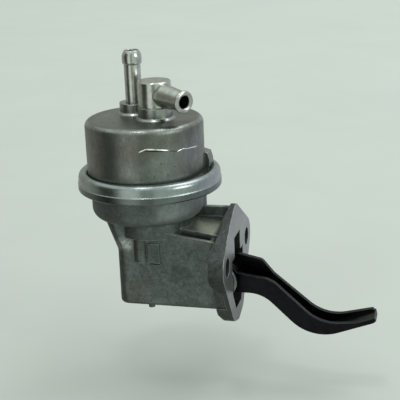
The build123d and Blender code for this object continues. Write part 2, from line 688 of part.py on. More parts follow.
def valve_spring(side):
    low = valve_plate_bottom + 0.7 + 0.05
    high = valve_plate_top - 2 * seat_gap - cage_wall - valve_disc_thickness - 0.05
    spring = coil(valve_spring_radius, valve_spring_wire, 2.0, low, high, 0)
    return Pos(valve_x(side), 0, 0) * flipped(spring, side)


parts = {
    "lower_body": lower_body(),
    "upper_cover": upper_cover(),
    "crimp_ring": crimp_ring(),
    "outlet_tube": outlet_tube(),
    "inlet_elbow": inlet_elbow(),
    "inlet_nozzle": inlet_nozzle(),
    "diaphragm": diaphragm(),
    "upper_plate": upper_plate(),
    "lower_plate": lower_plate(),
    "pull_rod": pull_rod(),
    "seal_retainer": seal_retainer(),
    "oil_seal": oil_seal(),
    "diaphragm_spring": diaphragm_spring(),
    "rocker_lever": rocker_lever(),
    "lever_bush": lever_bush(),
    "inner_link": inner_link(),
    "pivot_pin": pivot_pin(),
    "pin_plug": pin_plug(),
    "near_washer": pivot_washer(-1),
    "far_washer": pivot_washer(1),
    "return_spring": return_spring(),
    "valve_plate": valve_plate(),
}
for name, side in (("inlet", 1), ("outlet", -1)):
    parts[name + "_valve_cage"] = valve_cage(side)
    parts[name + "_valve_disc"] = valve_disc(side)
    parts[name + "_valve_spring"] = valve_spring(side)

os.makedirs("parts", exist_ok=True)
for name, shape in parts.items():
    export_step(shape, f"parts/{name}.step")
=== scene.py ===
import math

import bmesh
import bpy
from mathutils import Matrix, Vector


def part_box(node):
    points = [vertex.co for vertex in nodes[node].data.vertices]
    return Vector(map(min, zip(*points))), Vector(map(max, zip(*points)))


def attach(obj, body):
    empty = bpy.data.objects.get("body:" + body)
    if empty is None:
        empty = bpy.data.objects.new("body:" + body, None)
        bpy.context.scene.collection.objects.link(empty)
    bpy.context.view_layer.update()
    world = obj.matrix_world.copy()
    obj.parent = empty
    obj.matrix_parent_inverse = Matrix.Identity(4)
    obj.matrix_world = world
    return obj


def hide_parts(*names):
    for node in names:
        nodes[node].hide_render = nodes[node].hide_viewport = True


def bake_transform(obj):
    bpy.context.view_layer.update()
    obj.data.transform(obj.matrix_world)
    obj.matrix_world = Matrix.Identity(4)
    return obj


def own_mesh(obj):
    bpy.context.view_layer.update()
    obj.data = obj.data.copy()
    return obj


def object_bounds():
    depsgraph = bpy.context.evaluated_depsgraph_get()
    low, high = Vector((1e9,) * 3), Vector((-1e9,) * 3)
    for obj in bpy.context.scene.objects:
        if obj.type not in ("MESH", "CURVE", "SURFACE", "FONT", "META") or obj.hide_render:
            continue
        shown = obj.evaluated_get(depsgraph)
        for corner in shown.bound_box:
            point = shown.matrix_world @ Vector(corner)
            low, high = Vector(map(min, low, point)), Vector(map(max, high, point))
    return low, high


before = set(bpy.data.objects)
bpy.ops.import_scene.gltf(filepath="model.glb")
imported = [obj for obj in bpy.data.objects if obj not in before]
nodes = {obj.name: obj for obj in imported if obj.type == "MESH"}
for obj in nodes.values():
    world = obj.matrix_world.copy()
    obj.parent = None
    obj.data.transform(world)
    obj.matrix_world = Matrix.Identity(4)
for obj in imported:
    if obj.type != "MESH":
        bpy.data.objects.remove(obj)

# %% [markdown]
# # A mechanical fuel pump
# The castings, the crimp ring, the spigots and the lever come in as solids at their true size.
# This lesson gives them a camera, light and surfaces, and adds what the solids leave out: springs
# of round wire, a diaphragm with a fold, and the burrs of a long scratch.
# The scene is in metres. Sizes on the pump are written in millimetres and multiplied by MM. The
# floor and the lamps are large, so they are written in metres.

cad_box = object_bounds()
MM = 0.001
print("parts:", len(nodes), "box in mm:",
      [[round(v / MM, 1) for v in corner] for corner in cad_box])

# %% [markdown]
# ## Camera
# The photo was taken with a fairly long lens, from a little above the pump and to the right of its
# side. A camera's rest pose looks straight down, so it is first tipped up, then turned about the
# upright axis, and last rolled by two degrees, because the photo isn't level.

# %% Camera
IMAGE_SIDE = 400
FOCAL_PIXELS = 1000.0
SENSOR_WIDTH = 36.0
FARTHEST_SEEN = 20.0
CAMERA_DISTANCE = 483.1 * MM
AIM = Vector((-18.63, 3.46, 24.04)) * MM
AZIMUTH, ELEVATION, ROLL = math.radians(14.53), math.radians(17.67), math.radians(-2.15)

turn = Matrix.Rotation(AZIMUTH, 4, "Z") @ Matrix.Rotation(math.pi / 2 - ELEVATION, 4, "X")
turn = turn @ Matrix.Rotation(ROLL, 4, "Z")
eye = AIM + turn.to_3x3() @ Vector((0, 0, CAMERA_DISTANCE))
camera_data = bpy.data.cameras.new("camera")
camera_data.sensor_width = SENSOR_WIDTH
camera_data.lens = SENSOR_WIDTH * FOCAL_PIXELS / IMAGE_SIDE
camera_data.clip_end = FARTHEST_SEEN
camera = bpy.data.objects.new("camera", camera_data)
camera.matrix_world = Matrix.Translation(eye) @ turn
bpy.context.scene.collection.objects.link(camera)
bpy.context.scene.camera = camera
print("lens in mm:", camera_data.lens, "eye in mm:", [round(v / MM) for v in eye])

# %% [markdown]
# ## Colours and nodes
# Hex colours are written as a paint chart gives them, in sRGB. Shaders work with linear light, so
# one function converts them. A second one adds a node with its settings and links in one call.
# A third starts a material. Its patterns follow the Object coordinates, so they stay on a part
# that moves.


# %% Helpers for materials
def linear(hex_colour):
    """A hex colour as linear red, green, blue and alpha."""
    channels = [int(hex_colour[i:i + 2], 16) / 255 for i in (1, 3, 5)]
    return [c / 12.92 if c <= 0.04045 else ((c + 0.055) / 1.055) ** 2.4 for c in channels] + [1.0]


def add(tree, kind, inputs, stops=(), **settings):
    """Adds a shader node and returns its outputs.

    An input that is a socket is linked, and any other value is set on the input itself.
    Stops are the (position, hex colour) pairs of a colour ramp, from low to high.
    A Mix node has sockets for every kind of data: its colours are inputs 6 and 7 and output 2.
    """
    made = tree.nodes.new("ShaderNode" + kind)
    for name, value in settings.items():
        setattr(made, name, value)
    for key, value in inputs.items():
        if isinstance(value, bpy.types.NodeSocket):
            tree.links.new(value, made.inputs[key])
        else:
            made.inputs[key].default_value = value
    for index, (position, hex_colour) in enumerate(stops):
        elements = made.color_ramp.elements
        element = elements[index] if index < len(elements) else elements.new(position)
        element.position = position
        element.color = linear(hex_colour)
    return made.outputs


def new_material(name):
    """A material with nothing in it but its Object coordinates."""
    material = bpy.data.materials.new(name)
    material.use_nodes = True
    tree = material.node_tree
    tree.nodes.clear()
    return material, tree, add(tree, "TexCoord", {})["Object"]


FINER = 0.6    # share of its strength that each finer layer of a noise keeps
print("a mid grey in linear light:", round(linear("#808080")[0], 3))

# %% [markdown]
# ## Edges
# No real edge is sharp. Each one could be bevelled, but the solids' meshes are loose triangles.
# So a Bevel node turns the normal near an edge as a small round would, and where it differs from
# the flat normal, an edge is near. On an outer edge the sky is open and hands rub it bright. In an
# inner corner the walls shut the sky out, and there the colour is darkened as painted shade.
# Ambient occlusion tells the two apart.

# %% Edges
EDGE_START, EDGE_FULL = 0.995, 0.85    # how alike the two normals are
OPEN_START, OPEN_FULL = 0.8, 0.95      # how open the sky is


def edges_worn(tree, radius):
    """Normal rounded by a radius in mm, a mask of the outer edges, and how open the sky is."""
    rounded = add(tree, "Bevel", {"Radius": radius * MM}, samples=6)[0]
    flat = add(tree, "NewGeometry", {})["Normal"]
    alike = add(tree, "VectorMath", {0: rounded, 1: flat}, operation="DOT_PRODUCT")["Value"]
    edge = add(tree, "MapRange", {"Value": alike, "From Min": EDGE_START,
                                  "From Max": EDGE_FULL})[0]
    sky = add(tree, "AmbientOcclusion", {"Distance": 2 * radius * MM}, samples=8)["AO"]
    outside = add(tree, "MapRange", {"Value": sky, "From Min": OPEN_START,
                                     "From Max": OPEN_FULL})[0]
    outer = add(tree, "Math", {0: edge, 1: outside}, operation="MULTIPLY")[0]
    return rounded, outer, sky


print("an edge is full where the normals are", round(math.degrees(math.acos(EDGE_FULL))),
      "degrees apart")

# %% [markdown]
# ## Die-cast aluminium
# Molten metal is shot into a steel die. Its skin cools in cloudy patches and stays slightly
# grainy, and it drags a little along the die when it is pushed out. One noise alone looks like
# smoke. So clouds, streaks, specks and grain, each with its own size, are added up by weight, and
# brown stains and small dark pits come on top.
# The real grain is too fine to show in the picture, so it is drawn 0.4 mm wide.

# %% The skin of a casting
# A layer has its size in mm and its detail. A mark has the values of its layer where it starts
# and is full, and then its strength there.
CAST_LAYERS = (("grain", 0.4, 3.0), ("clouds", 14.0, 4.0), ("streaks", 2.2, 5.0),
               ("specks", 0.9, 4.0), ("stains", 22.0, 4.0), ("pits", 1.3, 1.0),
               ("handling", 6.0, 4.0))
CAST_WEIGHTS = (("clouds", 0.3), ("streaks", 0.3), ("specks", 0.25), ("grain", 0.15))
CAST_MARKS = (("stains", 0.5, 0.62, 0.4, "#5f594e"), ("pits", 0.71, 0.76, 0.6, "#2b2e2d"))
CAST_LOW, CAST_MIDDLE, CAST_HIGH = 0.4, 0.5, 0.6    # sums at the three shades


def cast_skin(tree, place, shades, pull):
    """Colour of the skin, the sum that its shades follow, and its noise layers.

    A pull below 1 stretches the streaks along Z.
    """
    along = add(tree, "Mapping", {"Vector": place, "Scale": (1.0, 1.0, pull)})[0]
    layers = {}
    for layer, size, detail in CAST_LAYERS:
        where = along if layer == "streaks" else place
        layers[layer] = add(tree, "TexNoise", {"Vector": where, "Scale": 1.0 / (size * MM),
                                               "Detail": detail, "Roughness": FINER})[0]
    total = 0.0
    for layer, weight in CAST_WEIGHTS:
        total = add(tree, "Math", {0: layers[layer], 1: weight, 2: total},
                    operation="MULTIPLY_ADD")[0]
    skin = add(tree, "ValToRGB", {"Fac": total},
               stops=zip((CAST_LOW, CAST_MIDDLE, CAST_HIGH), shades))[0]
    for layer, start, full, strength, colour in CAST_MARKS:
        mark = add(tree, "MapRange", {"Value": layers[layer], "From Min": start,
                                      "From Max": full, "To Max": strength})[0]
        skin = add(tree, "Mix", {0: mark, 6: skin, 7: linear(colour)}, data_type="RGBA")[2]
    return skin, total, layers


print("layers of the cast skin:", [layer for layer, size, detail in CAST_LAYERS])

# %% [markdown]
# ## Patches and wear of a casting
# Some places of a casting differ from its skin, and some patches hold painted light and painted
# shade. They could be painted, but a painting is tied to one mesh. Here each patch is found by
# which way it faces and by where it lies, and it has two shades and a gloss of its own. Then
# handling rubs the outer edges bright, more here and less there, and the inner corners are
# darkened with painted shade.

# %% Patches and wear of a casting
CAST_EDGE, GRAIN_HEIGHT = 0.6, 0.08            # in mm
GLOSS_SPREAD = 0.05
HANDLED_START, HANDLED_FULL = 0.4, 0.6
RUBBED_LEAST, RUBBED_MOST = 0.2, 0.9
CORNER_START, CORNER_FULL = 0.85, 0.55         # how open the sky is
# painted shade for the inner corners: its colour and strength
CORNER_SHADE, CORNER_SHADE_STRENGTH = "#2a2c29", 0.12


def die_cast(name, shades, rubbed, roughness, pull, patches):
    """Cast aluminium. A patch is (limits, darker shade, paler shade, extra gloss).

    A limit is (facing or place, axis, start, full), and the patch fades in from start to full.
    Places are in mm.
    """
    material, tree, place = new_material(name)
    skin, total, layers = cast_skin(tree, place, shades, pull)
    rough = add(tree, "MapRange", {"Value": total, "From Min": CAST_LOW, "From Max": CAST_HIGH,
                                   "To Min": roughness + GLOSS_SPREAD,
                                   "To Max": roughness - GLOSS_SPREAD})[0]
    normal = add(tree, "NewGeometry", {})["Normal"]
    in_mm = add(tree, "VectorMath", {0: place, "Scale": 1.0 / MM}, operation="SCALE")[0]
    sources = {"facing": add(tree, "SeparateXYZ", {0: normal}),
               "place": add(tree, "SeparateXYZ", {0: in_mm})}
    for limits, darker, paler, gloss in patches:
        here = 1.0
        for source, axis, start, full in limits:
            inside = add(tree, "MapRange", {"Value": sources[source][axis], "From Min": start,
                                            "From Max": full})[0]
            here = add(tree, "Math", {0: inside, 1: here}, operation="MULTIPLY")[0]
        shade = add(tree, "ValToRGB", {"Fac": total},
                    stops=((CAST_LOW, darker), (CAST_HIGH, paler)))[0]
        skin = add(tree, "Mix", {0: here, 6: skin, 7: shade}, data_type="RGBA")[2]
        rough = add(tree, "Math", {0: here, 1: -gloss, 2: rough}, operation="MULTIPLY_ADD")[0]
    rounded, outer, sky = edges_worn(tree, CAST_EDGE)
    handled = add(tree, "MapRange", {"Value": layers["handling"], "From Min": HANDLED_START,
                                     "From Max": HANDLED_FULL, "To Min": RUBBED_LEAST,
                                     "To Max": RUBBED_MOST})[0]
    rubbing = add(tree, "Math", {0: outer, 1: handled}, operation="MULTIPLY")[0]
    skin = add(tree, "Mix", {0: rubbing, 6: skin, 7: linear(rubbed)}, data_type="RGBA")[2]
    # painted shade: where the sky is shut out, the inner corners are darkened
    corner = add(tree, "MapRange", {"Value": sky, "From Min": CORNER_START,
                                    "From Max": CORNER_FULL, "To Max": CORNER_SHADE_STRENGTH})[0]
    skin = add(tree, "Mix", {0: corner, 6: skin, 7: linear(CORNER_SHADE)}, data_type="RGBA")[2]
    bump = add(tree, "Bump", {"Height": layers["grain"], "Strength": 0.3,
                              "Distance": GRAIN_HEIGHT * MM, "Normal": rounded})[0]
    metal = add(tree, "BsdfPrincipled", {"Base Color": skin, "Metallic": 1.0,
                                         "Roughness": rough, "Normal": bump})
    add(tree, "OutputMaterial", {"Surface": metal[0]})
    print(name, "has", len(patches), "patches")
    return material


# %% [markdown]
# ## The lower body
# The body is grey with a green tinge, dull and mottled. The bowl is rougher, and it is painted
# paler, most on its side towards the engine: painted light that lifts its shade. The roof of the
# box is painted pale, as painted light from above, and the flange's rim is dark. The milled face
# that meets the engine is bare metal, darker at its foot. The skin is broken at the back corner,
# which is so shallow that colour does for it. A short slot under the pad on the side wall is too
# small to cut, so its shade is painted as a dark patch.

# %% The lower body
# painted light: the bowl is paler to lift its shade, and it is also rougher
BOWL_PAINTED_LIGHT = [("place", "Z", 17.5, 18.5), ("place", "X", -12.0, -14.0)]
# painted light: the bowl's side towards the engine is paler still
BOWL_FRONT_PAINTED_LIGHT = BOWL_PAINTED_LIGHT + [("facing", "X", 0.3, 0.7)]
# painted light: the roof of the box is pale where light falls from above
ROOF_PAINTED_LIGHT = [("facing", "Z", 0.8, 0.95), ("place", "Z", 20.0, 17.0)]
FLANGE_RIM = [("place", "X", -10.0, -8.0), ("facing", "X", 0.8, 0.5)]
MILLED_FACE = [("facing", "X", 0.9, 0.98), ("place", "X", -0.3, -0.1)]
MILLED_FOOT = MILLED_FACE + [("place", "Z", -12.0, -26.0)]
BACK_CORNER = [("place", "X", -57.0, -54.0), ("place", "X", -47.0, -50.0),
               ("place", "Z", 2.5, 5.0), ("place", "Z", 11.0, 8.0), ("place", "Y", -13.0, -15.0)]
# painted shade: a dark patch stands for the slot under the pad, which is not cut
SLOT_PAINTED_SHADE = [("place", "X", -39.8, -39.4), ("place", "X", -34.4, -34.6), ("place", "Z", -3.1, -2.8),
        ("place", "Z", -2.1, -2.3), ("place", "Y", -15.0, -15.5)]
cast_body = die_cast(
    "die_cast_aluminium", shades=("#505757", "#626a68", "#747b79"), rubbed="#c4c9c7",
    roughness=0.52, pull=1.0,
    patches=[(BOWL_PAINTED_LIGHT, "#5d6564", "#797f7e", -0.1), (BOWL_FRONT_PAINTED_LIGHT, "#7c8483", "#98a09f", -0.05),
             (ROOF_PAINTED_LIGHT, "#b4baa9", "#d6dbca", 0.12), (FLANGE_RIM, "#3f4443", "#5b605e", 0.0),
             (MILLED_FACE, "#929896", "#a2a8a6", 0.12), (MILLED_FOOT, "#646964", "#767b75", 0.0),
             (BACK_CORNER, "#565e5a", "#bcc3bf", 0.12), (SLOT_PAINTED_SHADE, "#1d2120", "#2b2f2e", 0.0)])

# %% [markdown]
# ## The cover
# The cover has tarnished to a brownish grey and is glossier than the body. Its streaks run up and
# down, the way it left the die. Its rim is painted paler as a painted highlight, and the bosses
# are turned smooth.

# %% The cover
# painted highlight: the rim is paler where light catches it
COVER_RIM_HIGHLIGHT = [("facing", "Z", 0.35, 0.55), ("place", "Z", 65.4, 65.1)]
BOSSES = [("place", "Z", 65.7, 66.0)]
cast_cover = die_cast(
    "die_cast_aluminium_tarnished", shades=("#6c7069", "#797e79", "#878c89"), rubbed="#c9cccb",
    roughness=0.38, pull=0.4,
    patches=[(COVER_RIM_HIGHLIGHT, "#7b807b", "#a0a5a1", 0.12), (BOSSES, "#8a8f8a", "#a5aaa5", 0.12)])

# %% [markdown]
# ## Plated, blackened and bare metal
# Plating copies the smooth sheet or the turned bar under it, so it reflects more sharply than a
# casting. Each metal could have its own nodes, but they differ only in numbers, so one function
# makes them all: faint blotches in colour and gloss, and dents that are barely felt.

# %% Plated, blackened and bare metal
BLOTCH_LOW, BLOTCH_HIGH = 0.35, 0.65       # noise at the two shades
GLOSS_LOW, GLOSS_HIGH = 0.3, 0.7           # noise where the gloss is highest and lowest
SHARPER, DULLER = 0.8, 1.25                # shares of the roughness there
WORN_STRENGTH = 0.8
# painted shade below a height: the height of its fade in mm, and the share of colour left
SHADE_FADE, SHADE_SHARE = 0.3, 0.45          # height in mm of the fade, and the colour that is left


def smooth_metal(name, low, high, roughness, blotch=4.0, dents=0.04, edge=0.35,
                 worn_colour=None, painted_shade_below=None):
    """Smooth metal between two shades.

    Blotches, dents, round edges and the height below which shade is painted in are in mm. A worn
    colour shows on the outer edges.
    """
    material, tree, place = new_material(name)
    blotches = add(tree, "TexNoise", {"Vector": place, "Scale": 1.0 / (blotch * MM),
                                      "Detail": 4.0, "Roughness": FINER})[0]
    skin = add(tree, "ValToRGB", {"Fac": blotches},
               stops=((BLOTCH_LOW, low), (BLOTCH_HIGH, high)))[0]
    # painted shade: below the given height the colour is darkened
    if painted_shade_below:
        in_mm = add(tree, "VectorMath", {0: place, "Scale": 1.0 / MM}, operation="SCALE")[0]
        height = add(tree, "SeparateXYZ", {0: in_mm})["Z"]
        shade = add(tree, "MapRange", {"Value": height, "From Min": painted_shade_below - SHADE_FADE,
                                       "From Max": painted_shade_below, "To Min": SHADE_SHARE})[0]
        skin = add(tree, "VectorMath", {0: skin, "Scale": shade}, operation="SCALE")[0]
    rounded, outer = edges_worn(tree, edge)[:2]
    if worn_colour:
        worn = add(tree, "Math", {0: outer, 1: WORN_STRENGTH}, operation="MULTIPLY")[0]
        skin = add(tree, "Mix", {0: worn, 6: skin, 7: linear(worn_colour)}, data_type="RGBA")[2]
    bump = add(tree, "Bump", {"Height": blotches, "Strength": 0.5, "Distance": dents * MM,
                              "Normal": rounded})[0]
    rough = add(tree, "MapRange", {"Value": blotches, "From Min": GLOSS_LOW,
                                   "From Max": GLOSS_HIGH, "To Min": roughness * SHARPER,
                                   "To Max": roughness * DULLER})[0]
    metal = add(tree, "BsdfPrincipled", {"Base Color": skin, "Metallic": 1.0,
                                         "Roughness": rough, "Normal": bump})
    add(tree, "OutputMaterial", {"Surface": metal[0]})
    print(name, "has a roughness of", roughness)
    return material


# Zinc plate is bluish and satin. The ring's lowest band, rolled under the bowl, is painted darker
# as painted shade.
zinc_plate = smooth_metal("zinc_plated_steel", "#929c9b", "#a5afae", 0.27, blotch=6.0,
                          dents=0.015, painted_shade_below=35.5)
# Nickel plate over turned steel is bright, and its edges are well rounded.
nickel_plate = smooth_metal("nickel_plated_steel", "#adb0ab", "#c4c7c1", 0.21, blotch=3.0,
                            dents=0.02, edge=0.9)
# Black oxide is a thin film that holds oil: nearly black and satin, with steel on worn edges.
black_oxide = smooth_metal("black_oxide_steel", "#19191b", "#232226", 0.36, blotch=2.5,
                           dents=0.02, worn_colour="#5a5759")
# Bare steel under a little oil is a mid grey with a soft shine. Drawn wire is darker and duller.
plain_steel = smooth_metal("oiled_steel", "#8d8f90", "#b0b2b2", 0.3)
spring_wire = smooth_metal("spring_steel_wire", "#6b6d70", "#8b8d90", 0.35)
# Pressed brass is a dull yellow with a soft shine.
pressed_brass = smooth_metal("pressed_brass", "#a88a4a", "#c2a462", 0.3)

# %% [markdown]
# ## Rubber and plastic
# The diaphragm is cloth coated with rubber, and the seal and the valve discs are moulded. They are
# no metal, and they are matt with a fine grain, so one noise gives both their colour and bump.

# %% Rubber and plastic
GRAIN_LOW, GRAIN_HIGH = 0.3, 0.7           # noise at the two shades
SKIN_GRAIN_HEIGHT = 0.05                   # in mm


def matt_skin(name, low, high, roughness, grain):
    """Rubber or moulded plastic between two shades, with grain of a size in mm."""
    material, tree, place = new_material(name)
    specks = add(tree, "TexNoise", {"Vector": place, "Scale": 1.0 / (grain * MM),
                                    "Detail": 3.0, "Roughness": FINER})[0]
    bump = add(tree, "Bump", {"Height": specks, "Strength": 0.3,
                              "Distance": SKIN_GRAIN_HEIGHT * MM})[0]
    skin = add(tree, "ValToRGB", {"Fac": specks}, stops=((GRAIN_LOW, low), (GRAIN_HIGH, high)))[0]
    matt = add(tree, "BsdfPrincipled", {"Base Color": skin, "Roughness": roughness, "IOR": 1.5,
                                        "Normal": bump})
    add(tree, "OutputMaterial", {"Surface": matt[0]})
    print(name, "has a roughness of", roughness)
    return material


# Rubber on cloth is black and dry, and the seal's moulded rubber is a little smoother.
coated_cloth = matt_skin("rubber_coated_cloth", "#1b1b1a", "#2b2b29", 0.7, 0.5)
seal_rubber = matt_skin("nitrile_rubber", "#151515", "#222222", 0.6, 0.8)
# Acetal is a creamy plastic with a soft sheen.
valve_plastic = matt_skin("acetal_plastic", "#b8ab8a", "#cdbf9b", 0.45, 1.0)

# %% [markdown]
# ## Surfaces on the solids
# A solid whose shape is right could be modelled again here, but that gains nothing. It keeps its
# mesh and only gets a better surface in its material slots.

# %% Which surface goes where
surfaces = {
    cast_body: ["lower_body"],
    cast_cover: ["upper_cover"],
    zinc_plate: ["crimp_ring"],
    nickel_plate: ["outlet_tube", "inlet_elbow", "inlet_nozzle"],
    black_oxide: ["rocker_lever"],
    plain_steel: ["lever_bush", "inner_link", "pivot_pin", "pin_plug", "near_washer",
                  "far_washer", "pull_rod", "upper_plate", "lower_plate", "seal_retainer",
                  "valve_plate"],
    spring_wire: ["diaphragm_spring", "return_spring", "inlet_valve_spring",
                  "outlet_valve_spring"],
    pressed_brass: ["inlet_valve_cage", "outlet_valve_cage"],
    coated_cloth: ["diaphragm"],
    seal_rubber: ["oil_seal"],
    valve_plastic: ["inlet_valve_disc", "outlet_valve_disc"],
}
for material, names in surfaces.items():
    for name in names:
        mesh = nodes[name].data
        mesh.materials.clear()
        mesh.materials.append(material)
print("surfaces given to", sum(len(names) for names in surfaces.values()), "parts")

# %% [markdown]
# ## A new piece
# Every new piece is shaped as a bmesh, because its operators turn and fill a shape without a list
# of faces. A swept shape is open at both ends, so they are filled. Then all faces are turned
# outwards, and the shape becomes an object with the material it is given.


# %% A new piece
def close_ends(shape):
    """Fills the open ends of a swept shape."""
    bmesh.ops.holes_fill(shape, edges=[edge for edge in shape.edges if edge.is_boundary])


def new_piece(name, shape, surface):
    """Turns a finished bmesh into an object with its material."""
    bmesh.ops.recalc_face_normals(shape, faces=shape.faces)
    mesh = bpy.data.meshes.new(name)
    shape.to_mesh(mesh)
    shape.free()
    mesh.materials.append(surface)
    piece = bpy.data.objects.new(name, mesh)
    bpy.context.scene.collection.objects.link(piece)
    print(name, "has", len(mesh.polygons), "faces")
    return piece


# %% [markdown]
# ## Springs of round wire
# The springs' solids are square in section. The real ones are wound from round wire, and their
# last turn lies on the one below it so that they stand straight. A curve with a round bevel would
# need its points worked out, so a circle is spun three times instead, each time from where it
# stopped: a closed turn, the open turns and another closed turn.

# %% Springs
WIRE_SIDES = 12
STEPS_PER_TURN = 24
CLOSED_PITCH = 1.03    # rise of a closed turn in wire thicknesses, so that the turns stay clear


def round_spring(node, wire, open_turns):
    """Spring of round wire, its thickness in mm, in the place of a node with closed ends."""
    low, high = (Vector(corner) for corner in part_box(node))
    wire *= MM
    spring = bmesh.new()
    section = bmesh.ops.create_circle(spring, segments=WIRE_SIDES, radius=wire / 2)["verts"]
    bmesh.ops.rotate(spring, verts=section, matrix=Matrix.Rotation(math.pi / 2, 3, "X"))
    bmesh.ops.translate(spring, verts=section,
                        vec=((high.x - low.x - wire) / 2, 0, low.z + wire / 2))
    closed = wire * CLOSED_PITCH
    last = spring.edges[:]
    for turns, rise in ((1, closed), (open_turns, high.z - low.z - wire - 2 * closed),
                        (1, closed)):
        steps = round(STEPS_PER_TURN * turns)
        made = bmesh.ops.spin(spring, geom=last, axis=(0, 0, 1), dvec=(0, 0, rise / steps),
                              angle=turns * 2 * math.pi, steps=steps)
        last = [item for item in made["geom_last"] if isinstance(item, bmesh.types.BMEdge)]
    close_ends(spring)
    middle = (low + high) / 2
    bmesh.ops.translate(spring, verts=spring.verts, vec=(middle.x, middle.y, 0))
    piece = new_piece(node + "_round", spring, spring_wire)
    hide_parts(node)
    return piece, middle, low.z, high.z


for node, wire, turns, joint, travel, fixed_high in (
        ("diaphragm_spring", 1.6, 2.5, "rod_slide", 3.85, False),
        ("inlet_valve_spring", 0.35, 1.5, "inlet_valve_lift", 1.0, False),
        ("outlet_valve_spring", 0.35, 1.5, "outlet_valve_lift", 1.0, True)):
    piece, middle, low_z, high_z = round_spring(node, wire, turns)
    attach(piece, "housing")
    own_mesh(piece)
    print(node, "is", round((high_z - low_z) / MM, 2), "mm long")
piece, middle, low_z, high_z = round_spring("return_spring", 1.1, 2.5)
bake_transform(piece)
print("return_spring is", round((high_z - low_z) / MM, 2), "mm long")

# %% [markdown]
# ## Diaphragm
# The cloth is clamped at its rim and between the centre plates, and in the pump only the fold
# between them moves. The cloth is made as twelve slices, each with the fold along its own radius.
# The outline of a long grid is the cloth's section. It is dipped into the fold's shape and spun
# through a twelfth of a turn.

# %% Diaphragm
SLICES = 12
SLICE_STEPS = 8
SECTION_STEPS = 40
CLOTH = 1.5 * MM
HOLE_RADIUS, PLATE_RADIUS, WALL_RADIUS = 2.52 * MM, 15.0 * MM, 22.8 * MM
FLAT = 1.0 * MM        # what stays flat outside the plates and inside the wall
cloth_low, cloth_high = (Vector(corner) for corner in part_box("diaphragm"))
centre = (cloth_low + cloth_high) / 2
rim_radius = (cloth_high.x - cloth_low.x) / 2
fold_depth = cloth_high.z - cloth_low.z - CLOTH
for number in range(SLICES):
    heading = 2 * math.pi * (number + 0.5) / SLICES
    cloth = bmesh.new()
    bmesh.ops.create_grid(cloth, x_segments=SECTION_STEPS, y_segments=1, size=0.5)
    bmesh.ops.dissolve_faces(cloth, faces=cloth.faces[:])
    bmesh.ops.delete(cloth, geom=cloth.faces[:], context="FACES_ONLY")
    for vert in cloth.verts:
        radius = HOLE_RADIUS + (vert.co.x + 0.5) * (rim_radius - HOLE_RADIUS)
        across = (radius - PLATE_RADIUS - FLAT) / (WALL_RADIUS - PLATE_RADIUS - 2 * FLAT)
        dip = fold_depth * math.sin(math.pi * min(max(across, 0.0), 1.0)) ** 2
        vert.co = (radius, 0, cloth_high.z + (vert.co.y - 0.5) * CLOTH - dip)
    bmesh.ops.rotate(cloth, verts=cloth.verts,
                     matrix=Matrix.Rotation(heading - math.pi / SLICES, 3, "Z"))
    bmesh.ops.spin(cloth, geom=cloth.edges[:], axis=(0, 0, 1), angle=2 * math.pi / SLICES,
                   steps=SLICE_STEPS)
    close_ends(cloth)
    bmesh.ops.translate(cloth, verts=cloth.verts, vec=(centre.x, centre.y, 0))
    piece = new_piece(f"diaphragm_slice_{number + 1}", cloth, coated_cloth)
    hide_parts("diaphragm")
    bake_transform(piece)
print("diaphragm slices:", SLICES, "fold depth in mm:", round(fold_depth / MM, 2))

# %% [markdown]
# ## Scratches on the drum
# A tool has skidded across the front of the cover and turned up thin bright burrs, with gouges
# under and between them. A burr stands out of the wall and catches the light, so it is a shape of
# its own and not a line in the material. The gouges are not cut: near-black wires lie where their
# shade falls, as painted shade. Each one is a thin triangular wire: a three-sided profile is spun
# about the drum's axis, rises as it goes, and is drawn almost to a point at both ends.

# %% Scratches
DRUM_X = -43.7 * MM
DRUM_RADIUS = 28.2 * MM
BURR_STEPS = 24
TIP = 0.03             # the taper stops this share of the length before each end


def burr(name, start, end, low, high, width, surface):
    """Thin ridge on the drum's wall between two headings in degrees and two heights in mm."""
    wire = bmesh.new()
    ring = bmesh.ops.create_circle(wire, segments=3, radius=width * MM / 2)["verts"]
    bmesh.ops.rotate(wire, verts=ring, matrix=Matrix.Rotation(math.pi / 2, 3, "X"))
    bmesh.ops.translate(wire, verts=ring, vec=(DRUM_RADIUS, 0, low * MM))
    bmesh.ops.rotate(wire, verts=ring, matrix=Matrix.Rotation(math.radians(start), 3, "Z"))
    rise = Vector((0, 0, (high - low) * MM / BURR_STEPS))
    bmesh.ops.spin(wire, geom=wire.edges[:], axis=(0, 0, 1), dvec=rise,
                   angle=math.radians(end - start), steps=BURR_STEPS)
    for vert in wire.verts:
        along = (math.degrees(math.atan2(vert.co.y, vert.co.x)) - start) / (end - start)
        middle = vert.co.copy()
        middle.xy = middle.xy.normalized() * DRUM_RADIUS
        middle.z = (low + (high - low) * along) * MM
        thick = math.sin(math.pi * min(max(along, TIP), 1 - TIP)) ** 0.5
        vert.co = middle + (vert.co - middle) * thick
    close_ends(wire)
    bmesh.ops.translate(wire, verts=wire.verts, vec=(DRUM_X, 0, 0))
    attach(new_piece(name, wire, surface), "housing")


